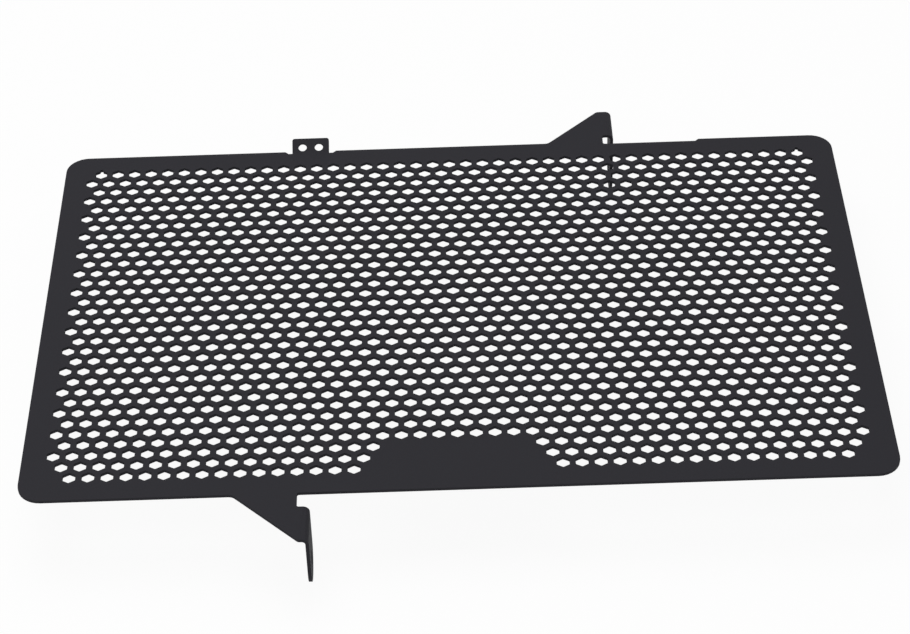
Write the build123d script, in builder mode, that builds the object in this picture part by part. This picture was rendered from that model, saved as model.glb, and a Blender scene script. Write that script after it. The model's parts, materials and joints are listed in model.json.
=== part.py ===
"""Motorcycle radiator guard: one perforated sheet with two folded ears and a small two-hole tab.

Millimetres. X runs along the panel's width, Y up its height and +Z out of its front.
The origin is the centre of the panel's back face.
"""
import os
from math import cos, radians, sin, sqrt, tan

from build123d import *

# Sheet
SHEET = 1.5
PANEL_WIDTH = 375.0
PANEL_HEIGHT = 245.0
CORNER_RADIUS = 10.5
BEND_RADIUS = 1.5  # inside of every fold

# Honeycomb field. The sheet's own cells are CELL_FLATS across with CELL_WEB of metal between them.
# They are drawn CELL_SCALE times that size here, with the same share of the field open.
RIM = 10.5  # plain border round the field
CELL_FLATS = 5.5
CELL_WEB = 2.6
CELL_SCALE = 2.0
HANG_NOTCH_DIAMETER = 1.8  # round nick in the top of the two upper corner cells

# Bare trapezoid in the middle of the lower edge: no cell has its centre in it
BARE_TOP_WIDTH = 60.0
BARE_HEIGHT = 32.5
BARE_SIDE_ANGLE = 60.0

# Triangular tabs that carry the ears: one on the upper edge (right), one on the lower edge (left)
UPPER_FOLD_X = 81.5  # outer face of the ear
UPPER_REACH = 25.5  # how far the tab stands beyond the panel's edge
UPPER_FLAT = 7.2  # straight end of the tab, from its slope to the ear's outer face
UPPER_EAR_DEPTH = 36.5  # from the panel's back face to the ear's tip
LOWER_FOLD_X = -63.0
LOWER_REACH = 28.5
LOWER_FLAT = 4.5
LOWER_EAR_DEPTH = 29.0
SLOPE_ANGLE = 45.0
SLOPE_FOOT_RADIUS = 4.0
SLOPE_END_RADIUS = 2.0
EAR_WIDTH = 20.0
EAR_HOLE_DIAMETER = 6.6
RELIEF_WIDTH = 5.5  # bend relief beside each ear, from the ear's outer face
RELIEF_RADIUS = 1.0

# Shallow recesses in the upper edge
RECESS_DEPTH = 1.6
RECESS_END_X = 123.0  # the long one runs from the upper ear's bend relief to here

# Two-hole tab, folded forwards from a recess of its own
TAB_X = -68.0
TAB_WIDTH = 18.0
TAB_LENGTH = 7.4  # straight part, past the fold
TAB_FOLD_ANGLE = 30.0
TAB_CORNER_RADIUS = 1.2
TAB_NOTCH = 3.5  # bend relief on each side of it
TAB_HOLE_DIAMETER = 4.2
TAB_HOLE_SPACING = 8.0
TAB_HOLE_RISE = 2.7  # from the end of the fold to the holes' centres

# Worked out
half_width = PANEL_WIDTH / 2
half_height = PANEL_HEIGHT / 2
recess_floor = half_height - RECESS_DEPTH
outer_bend = BEND_RADIUS + SHEET
middle_bend = BEND_RADIUS + SHEET / 2
ear_radius = EAR_WIDTH / 2
cell_flats = CELL_FLATS * CELL_SCALE
cell_points = 2 * cell_flats / sqrt(3)
cell_pitch = (CELL_FLATS + CELL_WEB) * CELL_SCALE
row_step = cell_pitch * sqrt(3) / 2


def tab_outline(side, edge, fold_x, reach, flat):
    """Corners of a triangular tab with their radii, from the foot of its slope to its bend relief.

    side is 1 on the upper edge and -1 on the lower one. edge is where the bend relief ends on the panel.
    """
    slope_end = fold_x - flat
    slope_foot = slope_end - reach / tan(radians(SLOPE_ANGLE))
    fold_start = fold_x - outer_bend
    relief = fold_x - RELIEF_WIDTH
    tip = side * (half_height + reach)
    ear_end = side * (half_height + reach - EAR_WIDTH)
    return [
        (slope_foot, side * half_height, SLOPE_FOOT_RADIUS),
        (slope_end, tip, SLOPE_END_RADIUS),
        (fold_start, tip, 0),
        (fold_start, ear_end, 0),
        (relief, ear_end, RELIEF_RADIUS),
        (relief, edge, RELIEF_RADIUS),
    ]


def blank_outline():
    """Corners of the flat sheet with their radii, anticlockwise from the lower left."""
    lower = tab_outline(-1, -half_height, LOWER_FOLD_X, LOWER_REACH, LOWER_FLAT)
    upper = tab_outline(1, recess_floor, UPPER_FOLD_X, UPPER_REACH, UPPER_FLAT)
    recess_half = TAB_WIDTH / 2 + TAB_NOTCH
    floor_half = recess_half - RECESS_DEPTH
    return [
        (-half_width, -half_height, CORNER_RADIUS),
        *lower,
        (half_width, -half_height, CORNER_RADIUS),
        (half_width, half_height, CORNER_RADIUS),
        (RECESS_END_X, half_height, 0),
        (RECESS_END_X - RECESS_DEPTH, recess_floor, 0),
        *reversed(upper),
        (TAB_X + recess_half, half_height, 0),
        (TAB_X + floor_half, recess_floor, 0),
        (TAB_X - floor_half, recess_floor, 0),
        (TAB_X - recess_half, half_height, 0),
        (-half_width, half_height, CORNER_RADIUS),
    ]


def in_bare_field(x, y):
    """Whether a place lies in the bare trapezoid, which widens downwards."""
    top = BARE_HEIGHT - half_height
    half = BARE_TOP_WIDTH / 2 + (top - y) / tan(radians(BARE_SIDE_ANGLE))
    return y < top and abs(x) < half


def cell_rows():
    """Centres of the cells row by row from the top.

    Every second row is one cell longer, but the lowest row lacks its two corner cells.
    """
    rows = int((PANEL_HEIGHT - 2 * RIM - cell_points) / row_step) + 1
    longest = int((PANEL_WIDTH - 2 * RIM - cell_flats) / cell_pitch) + 1
    field = []
    for row in range(rows):
        count = longest - 1 + row % 2
        y = ((rows - 1) / 2 - row) * row_step
        centres = [((column - (count - 1) / 2) * cell_pitch, y) for column in range(count)]
        field.append([centre for centre in centres if not in_bare_field(*centre)])
    field[-1] = field[-1][1:-1]
    return field


field = cell_rows()
cells = [centre for row in field for centre in row]
hang_points = [(x, y + cell_points / 2) for x, y in (field[0][0], field[0][-1])]
ears = [
    (half_height + UPPER_REACH - ear_radius, UPPER_FOLD_X, UPPER_EAR_DEPTH),
    (ear_radius - half_height - LOWER_REACH, LOWER_FOLD_X, LOWER_EAR_DEPTH),
]

with BuildPart() as guard:
    # Ears, folded straight back, with a round end and a bolt hole in its centre
    for ear_y, fold_x, depth in ears:
        with BuildSketch(Plane.XZ.offset(-ear_y - ear_radius)):
            with BuildLine():
                CenterArc((fold_x - outer_bend, -BEND_RADIUS), middle_bend, 0, 90)
            trace(line_width=SHEET)
        extrude(amount=EAR_WIDTH)
        hole_z = ear_radius - depth
        with BuildSketch(Plane.YZ.offset(fold_x - SHEET)):
            with BuildLine():
                side = Polyline(
                    (ear_y - ear_radius, hole_z),
                    (ear_y - ear_radius, -BEND_RADIUS),
                    (ear_y + ear_radius, -BEND_RADIUS),
                    (ear_y + ear_radius, hole_z),
                )
                ThreePointArc(side @ 1, (ear_y, -depth), side @ 0)
            make_face()
            with Locations((ear_y, hole_z)):
                Circle(EAR_HOLE_DIAMETER / 2, mode=Mode.SUBTRACT)
        extrude(amount=SHEET)

    # Two-hole tab, folded forwards
    with BuildSketch(Plane.YZ.offset(TAB_X - TAB_WIDTH / 2)):
        with BuildLine():
            CenterArc((recess_floor, outer_bend), middle_bend, -90, TAB_FOLD_ANGLE)
        trace(line_width=SHEET)
    extrude(amount=TAB_WIDTH)
    lean = radians(TAB_FOLD_ANGLE)
    tab_back = Plane(
        origin=(TAB_X, recess_floor + outer_bend * sin(lean), outer_bend * (1 - cos(lean))),
        x_dir=(1, 0, 0),
        z_dir=(0, -sin(lean), cos(lean)),
    )
    with BuildSketch(tab_back):
        with BuildLine():
            FilletPolyline(
                (-TAB_WIDTH / 2, 0),
                (TAB_WIDTH / 2, 0),
                (TAB_WIDTH / 2, TAB_LENGTH),
                (-TAB_WIDTH / 2, TAB_LENGTH),
                radius=[0, 0, TAB_CORNER_RADIUS, TAB_CORNER_RADIUS],
                close=True,
            )
        make_face()
        with Locations((0, TAB_HOLE_RISE)):
            with GridLocations(TAB_HOLE_SPACING, 0, 2, 1):
                Circle(TAB_HOLE_DIAMETER / 2, mode=Mode.SUBTRACT)
    extrude(amount=SHEET)

    # Flat blank with its honeycomb
    corners = blank_outline()
    with BuildSketch():
        with BuildLine():
            points = [(x, y) for x, y, _ in corners]
            FilletPolyline(*points, radius=[radius for _, _, radius in corners], close=True)
        make_face()
        with Locations(*cells):
            RegularPolygon(cell_flats / 2, 6, major_radius=False, rotation=30, mode=Mode.SUBTRACT)
        with Locations(*hang_points):
            Circle(HANG_NOTCH_DIAMETER / 2, mode=Mode.SUBTRACT)
    extrude(amount=SHEET)

guard.part.label = "radiator_guard"
os.makedirs("parts", exist_ok=True)
export_step(guard.part, "parts/radiator_guard.step")
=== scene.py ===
"""Motorcycle radiator guard: one perforated, folded and powder-coated sheet, face up on a white floor.

Metres, in the CAD's frame: X along the panel's width, Y up its height, +Z out of its front.
A size that is named for a corner is its radius.
"""
import json
from math import cos, pi, radians, sin, sqrt, tan

import bpy
import numpy as np
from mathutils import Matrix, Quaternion, Vector
from mathutils.geometry import delaunay_2d_cdt


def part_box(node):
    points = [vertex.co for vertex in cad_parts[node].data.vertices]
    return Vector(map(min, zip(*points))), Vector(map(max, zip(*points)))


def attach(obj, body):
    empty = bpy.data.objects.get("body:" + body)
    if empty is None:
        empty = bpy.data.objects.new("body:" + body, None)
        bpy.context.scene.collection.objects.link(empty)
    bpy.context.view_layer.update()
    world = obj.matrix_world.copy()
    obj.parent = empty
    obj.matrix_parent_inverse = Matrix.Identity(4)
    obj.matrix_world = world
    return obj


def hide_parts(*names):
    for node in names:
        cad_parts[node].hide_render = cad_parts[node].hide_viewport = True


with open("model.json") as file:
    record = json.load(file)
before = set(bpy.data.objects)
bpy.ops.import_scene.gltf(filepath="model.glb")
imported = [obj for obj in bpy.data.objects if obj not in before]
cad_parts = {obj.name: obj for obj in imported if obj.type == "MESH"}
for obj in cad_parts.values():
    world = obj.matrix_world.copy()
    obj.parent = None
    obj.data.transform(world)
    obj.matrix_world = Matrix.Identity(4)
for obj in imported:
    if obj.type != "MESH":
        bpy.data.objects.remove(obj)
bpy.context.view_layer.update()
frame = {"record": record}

MM = 0.001
NODE = "radiator_guard"

# Sheet
SHEET = 1.5 * MM  # thickness
PANEL_HEIGHT = 245.0 * MM
PANEL_CORNER = 10.5 * MM
BEND_RADIUS = 1.5 * MM  # inside of every fold
LIP = 0.04 * MM  # softened edge of the coat

# Honeycomb
CELL_PITCH = 8.1 * MM
CELL_FLATS = 5.5 * MM  # width across flats
CELL_CORNER = 0.35 * MM
CELL_SIDE_SLOPE = radians(30)  # of a cell's upper sides
CELL_ROWS = 32
SHORT_ROW = 43  # cells in the top row; every second row has one more
NICK_RADIUS = 0.8 * MM  # round nick in the upper corner cells

# Bare trapezoid above the lower edge: no cell has its centre in it
BARE_TOP_WIDTH = 60.0 * MM
BARE_HEIGHT = 32.5 * MM
BARE_SIDE_ANGLE = radians(60)

# Ears and the triangular tabs that carry them
UPPER_FLAT = 7.2 * MM  # from the end of the slope to the ear's outer face
LOWER_FLAT = 4.5 * MM
SLOPE_ANGLE = radians(45)
SLOPE_FOOT = 4.0 * MM  # radius where the slope leaves the panel
SLOPE_END = 2.0 * MM  # radius where it meets the flat
EAR_WIDTH = 20.0 * MM
RELIEF_WIDTH = 5.5 * MM  # up to the ear's outer face
RELIEF_CORNER = 1.0 * MM

# Recesses in the upper edge and the two-hole tab
RECESS_DEPTH = 1.6 * MM
RECESS_END_X = 123.0 * MM
TAB_WIDTH = 18.0 * MM
TAB_LENGTH = 7.4 * MM  # past its fold
TAB_FOLD = radians(30)
TAB_CORNER = 1.2 * MM
TAB_NOTCH = 3.5 * MM  # from the tab to the end of its recess
TAB_HOLE_RISE = 2.7 * MM  # of the holes' centres past the fold

# Facets
CORNER_STEPS = 8
CELL_CORNER_STEPS = 1
NICK_STEPS = 12
HOLE_STEPS = 24
EAR_FOLD_STEPS = 12
TAB_FOLD_STEPS = 5
SAME_PLACE = 1e-7  # points of an outline that are nearer than this are one
INSIDE_EDGES = 1  # the kind of triangulation that fills closed edges and nothing else
FLAT_TOLERANCE = 1e-9  # distance at which the triangulation joins points
SHARP_ANGLE = radians(20)  # edges that turn further stay sharp

# UV map
UV_MAP = "OFBake"
CHART_WALL = 0.55 * MM  # width of a wall in the map, where it lies beyond its edge
CHART_MARGIN = 2.0 * MM

# Powder coat
COAT_DARK = (0.0236, 0.0231, 0.0272, 1)
COAT_PALE = (0.0319, 0.0313, 0.0368, 1)
COAT_ROUGHNESS = 0.54
COAT_SPECULAR = 0.04
DRIFT_SIZE = 90 * MM  # slow change from place to place
DRIFT_SHADE = 0.5
DRIFT_ROUGHNESS = 0.10
PEEL_SIZE = 1.6 * MM  # orange peel
PEEL_HEIGHT = 0.7
GRAIN_SIZE = 0.35 * MM
GRAIN_SHADE = 0.9
GRAIN_ROUGHNESS = 0.06
GRAIN_HEIGHT = 0.5
SHADE_DROP = 0.2  # brings the mean shade halfway between dark and pale
BUMP_STRENGTH = 0.22
BUMP_DISTANCE = 0.05 * MM
NOISE_ROUGHNESS = 0.55

# Studio
WHITE = (1, 1, 1, 1)
FLOOR_WHITE = (0.9, 0.9, 0.9, 1)
FLOOR_REACH = 4.0
SEEN_WHITE = 0.93  # share of pure white in what the camera sees of the floor
FILL = 0.45  # light from all round
LAMPS = {
    "over_lamp": {"place": (-0.25, 0.25, 1.3), "size": 1.0, "watts": 8.4},
    "front_lamp": {"place": (-0.25, -0.9, 1.2), "size": 0.7, "watts": 3.6},
}

# Camera
AIM = Vector((0.463, -8.588, 0.75)) * MM
AZIMUTH = radians(-89.939)
ELEVATION = radians(39.473)
ROLL = radians(-1.908)
DISTANCE = 1209.2 * MM
LENS = 105.151  # in millimetres, as the sensor is
SENSOR_WIDTH = 36.0
CLIP_START = 0.01

# Taken from the frame
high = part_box(NODE)[1]
mounts = {mount["name"]: mount for mount in frame["record"]["mounts"]}
upper_hole = Vector(mounts["upper_ear_hole"]["pos_m"])
lower_hole = Vector(mounts["lower_ear_hole"]["pos_m"])
ear_hole_radius = mounts["upper_ear_hole"]["dims"]["r_mm"] * MM
tab_x = mounts["tab_holes"]["pos_m"][0]
tab_spacing = mounts["tab_holes"]["dims"]["pcd_mm"] * MM
tab_hole_radius = mounts["tab_holes"]["dims"]["hole_r_mm"] * MM

# Worked out
half_width = high.x
half_height = PANEL_HEIGHT / 2
half_sheet = SHEET / 2
recess_floor = half_height - RECESS_DEPTH
outer_bend = BEND_RADIUS + SHEET
middle_bend = BEND_RADIUS + half_sheet
ear_radius = EAR_WIDTH / 2
ear_arc = middle_bend * pi / 2
tab_arc = middle_bend * TAB_FOLD
cell_point = CELL_FLATS / sqrt(3)
row_step = CELL_PITCH * sqrt(3) / 2


class Ear:
    """An ear of the flat blank: where it starts, how wide it is and how far it reaches when unfolded."""

    def __init__(self, side, hole, flat):
        self.side = side
        self.flat = flat
        self.outer_face = hole.x + half_sheet
        self.fold_start = self.outer_face - outer_bend
        self.near = hole.y - side * ear_radius
        self.far = hole.y + side * ear_radius
        self.hole_x = self.fold_start + ear_arc - BEND_RADIUS - hole.z
        self.hole_y = hole.y
        self.end_x = self.hole_x + ear_radius


upper_ear = Ear(1, upper_hole, UPPER_FLAT)
lower_ear = Ear(-1, lower_hole, LOWER_FLAT)


def directions(angles):
    """Unit vectors at angles, anticlockwise from +X: (cos a, sin a)."""
    return np.stack([np.cos(angles), np.sin(angles)], -1)


def rotated(arms, angles):
    """Arms (..., 2) turned anticlockwise: (x cos a - y sin a, x sin a + y cos a)."""
    x, y = arms[..., 0], arms[..., 1]
    return np.stack([x * np.cos(angles) - y * np.sin(angles), x * np.sin(angles) + y * np.cos(angles)], -1)


def rounded(corners, steps):
    """A closed outline through corners (x, y, radius), each rounded by an arc of that many steps.

    With turn the angle between the runs before and after a corner, the arc starts radius * tan(turn / 2)
    before the corner. Its centre lies one radius to the side it turns to, and the start swings round it.
    """
    corners = np.asarray(corners, float)
    at, radius = corners[:, :2], corners[:, 2]
    before = at - np.roll(at, 1, 0)
    before /= np.linalg.norm(before, axis=1, keepdims=True)
    after = np.roll(before, -1, 0)
    across = before[:, 0] * after[:, 1] - before[:, 1] * after[:, 0]
    turn = np.arctan2(across, (before * after).sum(1))
    start = at - before * (radius * np.tan(np.abs(turn) / 2))[:, None]
    arm = rotated(before, -pi / 2) * (np.sign(turn) * radius)[:, None]
    swing = turn[:, None] * np.linspace(0, 1, steps + 1)
    points = (start - arm)[:, None] + rotated(arm[:, None], swing)
    points = points.reshape(-1, 2)
    apart = np.linalg.norm(points - np.roll(points, 1, 0), axis=1)
    return points[apart > SAME_PLACE]


def ear_corners(ear, edge):
    """Corners of a triangular tab and its unfolded ear, from the foot of the slope to the bend relief.

    The relief is cut beside the ear, down to the panel's edge there.
    """
    slope_end = ear.outer_face - ear.flat
    slope_foot = slope_end - (abs(ear.far) - half_height) / tan(SLOPE_ANGLE)
    relief = ear.outer_face - RELIEF_WIDTH
    fold_lines = ear.fold_start + np.linspace(0, ear_arc, EAR_FOLD_STEPS + 1)
    return [
        (slope_foot, ear.side * half_height, SLOPE_FOOT),
        (slope_end, ear.far, SLOPE_END),
        *((x, ear.far, 0) for x in fold_lines),
        (ear.end_x, ear.far, ear_radius),
        (ear.end_x, ear.near, ear_radius),
        *((x, ear.near, 0) for x in reversed(fold_lines)),
        (relief, ear.near, RELIEF_CORNER),
        (relief, edge, RELIEF_CORNER),
    ]


def tab_corners():
    """Corners of the recess for the two-hole tab and of the unfolded tab, from right to left."""
    recess_half = TAB_WIDTH / 2 + TAB_NOTCH
    floor_half = recess_half - RECESS_DEPTH
    tip = recess_floor + tab_arc + TAB_LENGTH
    fold_lines = recess_floor + np.linspace(0, tab_arc, TAB_FOLD_STEPS + 1)
    return [
        (tab_x + recess_half, half_height, 0),
        (tab_x + floor_half, recess_floor, 0),
        *((tab_x + TAB_WIDTH / 2, y, 0) for y in fold_lines),
        (tab_x + TAB_WIDTH / 2, tip, TAB_CORNER),
        (tab_x - TAB_WIDTH / 2, tip, TAB_CORNER),
        *((tab_x - TAB_WIDTH / 2, y, 0) for y in reversed(fold_lines)),
        (tab_x - floor_half, recess_floor, 0),
        (tab_x - recess_half, half_height, 0),
    ]


def blank_outline():
    """Outer outline of the flat blank, anticlockwise, with its ears and tab unfolded."""
    corners = [
        (-half_width, -half_height, PANEL_CORNER),
        *ear_corners(lower_ear, -half_height),
        (half_width, -half_height, PANEL_CORNER),
        (half_width, half_height, PANEL_CORNER),
        (RECESS_END_X, half_height, 0),
        (RECESS_END_X - RECESS_DEPTH, recess_floor, 0),
        *reversed(ear_corners(upper_ear, recess_floor)),
        *tab_corners(),
        (-half_width, half_height, PANEL_CORNER),
    ]
    return rounded(corners, CORNER_STEPS)


def cell_centres():
    """Centres of the cells: row r has y = (middle - r) * row_step, and x = (column - middle) * pitch.

    Odd rows have one cell more. The lowest row lacks its end cells, and the bare trapezoid has none.
    """
    row, column = np.mgrid[0:CELL_ROWS, 0:SHORT_ROW + 1]
    count = SHORT_ROW + row % 2
    x = (column - (count - 1) / 2) * CELL_PITCH
    y = ((CELL_ROWS - 1) / 2 - row) * row_step
    bare_top = BARE_HEIGHT - half_height
    bare_half = BARE_TOP_WIDTH / 2 + (bare_top - y) / tan(BARE_SIDE_ANGLE)
    bare = (y < bare_top) & (np.abs(x) < bare_half)
    corner = (row == CELL_ROWS - 1) & ((column == 0) | (column == count - 1))
    kept = (column < count) & ~bare & ~corner
    return np.stack([x[kept], y[kept]], -1)


def cell_corners():
    """Corners of a cell about its centre, clockwise from the top: a hexagon on its point."""
    return cell_point * directions(pi / 2 - np.arange(6) * pi / 3)


def cell_loops(centres):
    """One closed loop of points per cell, clockwise, with each corner taken off."""
    corners = cell_corners()
    radii = np.full((len(corners), 1), CELL_CORNER)
    return centres[:, None] + rounded(np.hstack([corners, radii]), CELL_CORNER_STEPS)


def nicked_loop(centre):
    """A cell whose top corner opens into a round nick: an arc about that corner, from side to side."""
    corners = cell_corners()
    swing = np.linspace(pi + CELL_SIDE_SLOPE, -CELL_SIDE_SLOPE, NICK_STEPS + 1)
    nick = corners[0] + NICK_RADIUS * directions(swing)
    return centre + np.concatenate([nick, corners[1:]])


def round_loop(x, y, radius):
    """A round hole, clockwise."""
    return np.array([x, y]) + radius * directions(-np.arange(HOLE_STEPS) * 2 * pi / HOLE_STEPS)


def blank_loops():
    """All closed edges of the flat blank, with the metal on their left."""
    centres = cell_centres()
    nicked = [0, SHORT_ROW - 1]  # both ends of the top row
    plain = np.delete(centres, nicked, 0)
    tab_hole_y = recess_floor + tab_arc + TAB_HOLE_RISE
    return [
        blank_outline(),
        *cell_loops(plain),
        *(nicked_loop(centre) for centre in centres[nicked]),
        *(round_loop(ear.hole_x, ear.hole_y, ear_hole_radius) for ear in (upper_ear, lower_ear)),
        *(round_loop(tab_x + side * tab_spacing / 2, tab_hole_y, tab_hole_radius) for side in (-1, 1)),
    ]


def loop_links(counts):
    """For each point of loops laid end to end: its loop's start, and the points after and before it."""
    starts = np.repeat(np.cumsum(counts) - counts, counts)
    place = np.arange(counts.sum()) - starts
    count = np.repeat(counts, counts)
    return starts, starts + (place + 1) % count, starts + (place - 1) % count


def inward(points, following, preceding):
    """For each edge point, the move that shifts both of its runs to the left by one unit.

    With n1 and n2 the left normals of the runs before and after it, that is (n1 + n2) / (1 + n1.n2).
    """
    run = points[following] - points
    run /= np.linalg.norm(run, axis=1, keepdims=True)
    after = np.stack([-run[:, 1], run[:, 0]], -1)
    before = after[preceding]
    return (before + after) / (1 + (before * after).sum(1))[:, None]


def folded(flat, height):
    """Places of points of the blank: flat (x, y) and height above the middle of the sheet.

    An ear's points at a distance s past its fold line swing back about the fold's axis by
    s / middle radius, up to 90 degrees, and run straight down after that. The tab's points swing
    forwards in the same way.
    """
    x, y = flat[:, 0].copy(), flat[:, 1].copy()
    z = half_sheet + height
    for ear in (upper_ear, lower_ear):
        on = (ear.side * flat[:, 1] > half_height) & (flat[:, 0] > ear.fold_start)
        past = flat[on, 0] - ear.fold_start
        swing = np.minimum(past / middle_bend, pi / 2)
        straight = np.maximum(past - ear_arc, 0)
        x[on] = ear.fold_start + (middle_bend + height[on]) * np.sin(swing)
        z[on] = -BEND_RADIUS + (middle_bend + height[on]) * np.cos(swing) - straight
    on = (flat[:, 1] > recess_floor) & (np.abs(flat[:, 0] - tab_x) < TAB_WIDTH / 2 + LIP)
    past = flat[on, 1] - recess_floor
    swing = np.minimum(past / middle_bend, TAB_FOLD)
    straight = np.maximum(past - tab_arc, 0)
    y[on] = recess_floor + (middle_bend - height[on]) * np.sin(swing) + straight * cos(TAB_FOLD)
    z[on] = outer_bend - (middle_bend - height[on]) * np.cos(swing) + straight * sin(TAB_FOLD)
    return np.stack([x, y, z], -1)


def flat_faces(points, following, loop):
    """Triangles between closed edges that have the metal on their left, anticlockwise.

    A triangle with all its corners on one edge lies in the metal only if it runs the same way round as that
    edge: of the steps between its three corners two then go up the edge's count, and one goes down.
    """
    edges = np.stack([np.arange(len(points)), following], -1)
    found = delaunay_2d_cdt(points.tolist(), edges.tolist(), [], INSIDE_EDGES, FLAT_TOLERANCE)
    triangles, origins = np.array(found[2]), np.array(found[3])
    faces = origins[:, 0][triangles]
    on = loop[faces]
    alone = (on == on[:, :1]).all(1)
    climbs = (np.roll(faces, -1, 1) > faces).sum(1)
    return faces[~alone | (climbs == 2)]


def chart(flat, developed, walls, front):
    """UV of every corner: the front laid out flat with its walls beyond their edges, and the back above it.

    One scale for all: (u, v) = (place - lowest corner + margin) / side of the square that holds both.
    """
    lowest = developed.min(0)
    extent = developed.max(0) - lowest
    side = 2 * extent[1] + 3 * CHART_MARGIN
    above = np.array([0, extent[1] + CHART_MARGIN])
    spread = [developed[walls.ravel()], developed[front.ravel()], flat[front[:, ::-1].ravel()] + above]
    return (np.concatenate(spread) - lowest + CHART_MARGIN) / side


def face_mesh(name, places, quads, triangles):
    """A mesh of points and of faces with four and three corners, given as rows of point numbers."""
    corners = np.concatenate([quads.ravel(), triangles.ravel()])
    sizes = np.repeat([4, 3], [len(quads), len(triangles)])
    mesh = bpy.data.meshes.new(name)
    mesh.vertices.add(len(places))
    mesh.vertices.foreach_set("co", places.ravel())
    mesh.loops.add(len(corners))
    mesh.loops.foreach_set("vertex_index", corners)
    mesh.polygons.add(len(sizes))
    mesh.polygons.foreach_set("loop_start", np.cumsum(sizes) - sizes)
    mesh.update(calc_edges=True)
    return mesh


def guard_sheet():
    """The whole guard as one closed mesh.

    The section of an edge (front lip, wall, back lip) is carried along every closed edge of the blank.
    The faces between the lips are triangulated flat, and then everything is folded.
    """
    loops = blank_loops()
    points = np.concatenate(loops)
    starts, following, preceding = loop_links(np.array([len(loop) for loop in loops]))
    left = inward(points, following, preceding)

    inset = np.array([LIP, 0, 0, LIP])
    height = np.array([half_sheet, half_sheet - LIP, LIP - half_sheet, -half_sheet])
    flat = points + inset[:, None, None] * left
    places = folded(flat.reshape(-1, 2), np.repeat(height, len(points)))

    grid = np.arange(len(places)).reshape(len(inset), -1)
    upper, lower = grid[:-1], grid[1:]
    walls = np.stack([upper, lower, lower[:, following], upper[:, following]], -1).reshape(-1, 4)
    front = flat_faces(flat[0], following, starts)
    back = grid[-1][front[:, ::-1]]
    mesh = face_mesh("guard_sheet", places, walls, np.concatenate([front, back]))

    beyond = np.array([LIP, 0, -CHART_WALL, -CHART_WALL - LIP])
    developed = (points + beyond[:, None, None] * left).reshape(-1, 2)
    layer = mesh.uv_layers.new(name=UV_MAP)
    layer.data.foreach_set("uv", chart(flat[0], developed, walls, front).ravel())
    mesh.shade_smooth()
    mesh.set_sharp_from_angle(angle=SHARP_ANGLE)
    return mesh


class Socket:
    """An output of a node. Arithmetic with it adds Math nodes to its tree."""

    def __init__(self, tree, output):
        self.tree = tree
        self.output = output

    def __add__(self, other):
        return self.tree.maths("ADD", self, other)

    def __sub__(self, other):
        return self.tree.maths("SUBTRACT", self, other)

    def __rsub__(self, other):
        return self.tree.maths("SUBTRACT", other, self)

    def __mul__(self, other):
        return self.tree.maths("MULTIPLY", self, other)

    __radd__ = __add__
    __rmul__ = __mul__


class Tree:
    """The nodes of a material or of the world."""

    def __init__(self, owner):
        owner.use_nodes = True
        self.nodes = owner.node_tree.nodes
        self.links = owner.node_tree.links
        self.nodes.clear()

    def add(self, kind, settings, sockets, output=0):
        """Adds a node of a type: its settings first, then a value or a link for each of its sockets.

        Gives one of its outputs, by number or name, or None if it has no output.
        """
        node = self.nodes.new(kind)
        for name, value in settings.items():
            setattr(node, name, value)
        for name, value in sockets.items():
            if isinstance(value, Socket):
                self.links.new(value.output, node.inputs[name])
            else:
                node.inputs[name].default_value = value
        return Socket(self, node.outputs[output]) if node.outputs else None

    def maths(self, operation, first, second):
        """One Math node on two numbers or links."""
        return self.add("ShaderNodeMath", {"operation": operation}, {0: first, 1: second})

    def noise(self, place, size, detail):
        """Noise from 0 to 1 with features of about that size, in metres."""
        sockets = {"Vector": place, "Scale": 1 / size, "Detail": detail, "Roughness": NOISE_ROUGHNESS}
        return self.add("ShaderNodeTexNoise", {}, sockets)

    def seen(self):
        """1 for rays that show a surface to the camera, straight or by reflection, and 0 for light."""
        kinds = ("Is Camera Ray", "Is Glossy Ray", "Is Transmission Ray")
        rays = [self.add("ShaderNodeLightPath", {}, {}, kind) for kind in kinds]
        return self.maths("MAXIMUM", self.maths("MAXIMUM", rays[0], rays[1]), rays[2])


def powder_coat():
    """Matt black powder coat: a fine grain over a faint orange peel, and a slow change of shade."""
    material = bpy.data.materials.new("powder_coat")
    tree = Tree(material)
    place = tree.add("ShaderNodeTexCoord", {}, {}, "Object")
    drift = tree.noise(place, DRIFT_SIZE, detail=2)
    peel = tree.noise(place, PEEL_SIZE, detail=2)
    grain = tree.noise(place, GRAIN_SIZE, detail=1)
    shade = drift * DRIFT_SHADE + grain * GRAIN_SHADE - SHADE_DROP
    colour = tree.add(
        "ShaderNodeMix",
        {"data_type": "RGBA"},
        {"Factor": shade, "A": COAT_DARK, "B": COAT_PALE},
        "Result",
    )
    height = peel * PEEL_HEIGHT + grain * GRAIN_HEIGHT
    normal = tree.add(
        "ShaderNodeBump",
        {},
        {"Strength": BUMP_STRENGTH, "Distance": BUMP_DISTANCE, "Height": height},
    )
    coat = tree.add(
        "ShaderNodeBsdfPrincipled",
        {},
        {
            "Base Color": colour,
            "Roughness": COAT_ROUGHNESS + drift * DRIFT_ROUGHNESS + grain * GRAIN_ROUGHNESS,
            "Specular IOR Level": COAT_SPECULAR,
            "Normal": normal,
        },
    )
    tree.add("ShaderNodeOutputMaterial", {}, {"Surface": coat})
    return material


def white_floor():
    """Matt white that the camera sees nearly as pure white, with a faint shadow of the guard."""
    material = bpy.data.materials.new("white_floor")
    tree = Tree(material)
    matt = tree.add("ShaderNodeBsdfDiffuse", {}, {"Color": FLOOR_WHITE})
    glow = tree.add("ShaderNodeEmission", {}, {"Color": WHITE, "Strength": 1.0})
    mixed = tree.add("ShaderNodeMixShader", {}, {0: tree.seen() * SEEN_WHITE, 1: matt, 2: glow})
    tree.add("ShaderNodeOutputMaterial", {}, {"Surface": mixed})
    return material


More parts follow.
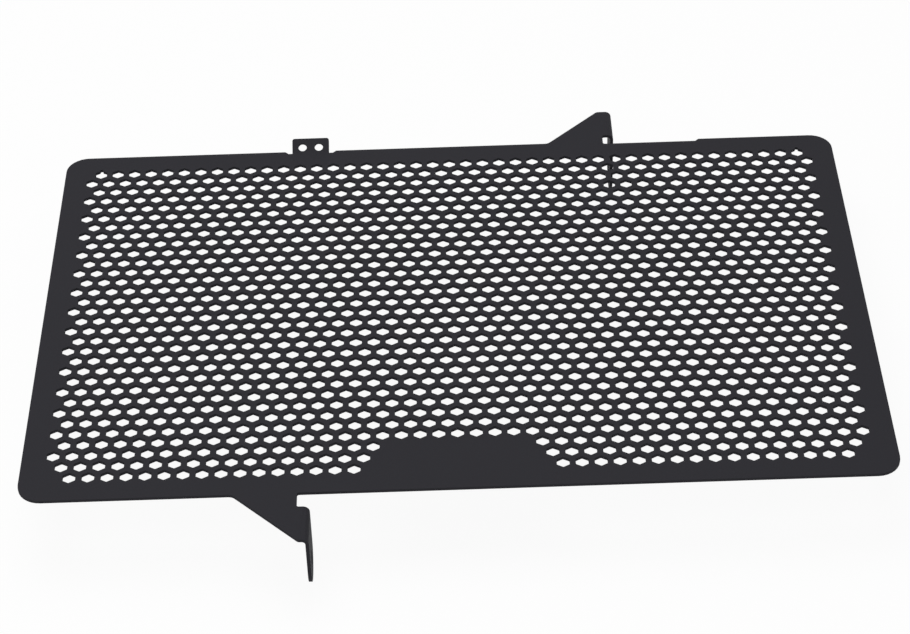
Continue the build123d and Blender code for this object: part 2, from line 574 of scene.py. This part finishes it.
def white_world():
    """White all round: pure white where it is seen, and a softer fill as light."""
    world = bpy.data.worlds.new("studio")
    tree = Tree(world)
    strength = FILL + tree.seen() * (1 - FILL)
    light = tree.add("ShaderNodeBackground", {}, {"Color": WHITE, "Strength": strength})
    tree.add("ShaderNodeOutputWorld", {}, {"Surface": light})
    return world


def add_object(name, data):
    """An object of a mesh, lamp or camera, linked to the scene."""
    made = bpy.data.objects.new(name, data)
    bpy.context.scene.collection.objects.link(made)
    return made


def add_floor():
    """A square floor under the tip of the deeper ear."""
    mesh = bpy.data.meshes.new("floor")
    level = upper_hole.z - ear_radius
    corners = [(x * FLOOR_REACH, y * FLOOR_REACH, level) for x, y in ((-1, -1), (1, -1), (1, 1), (-1, 1))]
    mesh.from_pydata(corners, [], [(0, 1, 2, 3)])
    mesh.materials.append(white_floor())
    add_object("floor", mesh)


def add_lamp(name, place, size, watts):
    """A round soft lamp that points at the guard."""
    lamp = add_object(name, bpy.data.lights.new(name, "AREA"))
    lamp.data.shape = "DISK"
    lamp.data.size = size
    lamp.data.energy = watts
    lamp.location = place
    lamp.rotation_euler = (-lamp.location).to_track_quat("-Z", "Y").to_euler()


def add_camera():
    """A camera that looks at the aim from its azimuth, elevation and distance, with a slight roll."""
    camera = add_object("camera", bpy.data.cameras.new("camera"))
    camera.data.lens = LENS
    camera.data.sensor_width = SENSOR_WIDTH
    camera.data.clip_start = CLIP_START
    outward = Vector((cos(ELEVATION) * cos(AZIMUTH), cos(ELEVATION) * sin(AZIMUTH), sin(ELEVATION)))
    camera.location = AIM + DISTANCE * outward
    camera.rotation_euler = ((-outward).to_track_quat("-Z", "Y") @ Quaternion((0, 0, 1), ROLL)).to_euler()
    return camera


guard = add_object("guard_sheet", guard_sheet())
guard.data.materials.append(powder_coat())
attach(guard, "root")
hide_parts(NODE)

bpy.context.scene.world = white_world()
add_floor()
for name, lamp in LAMPS.items():
    add_lamp(name, **lamp)
bpy.context.scene.camera = add_camera()
bpy.context.scene.view_settings.view_transform = "Standard"
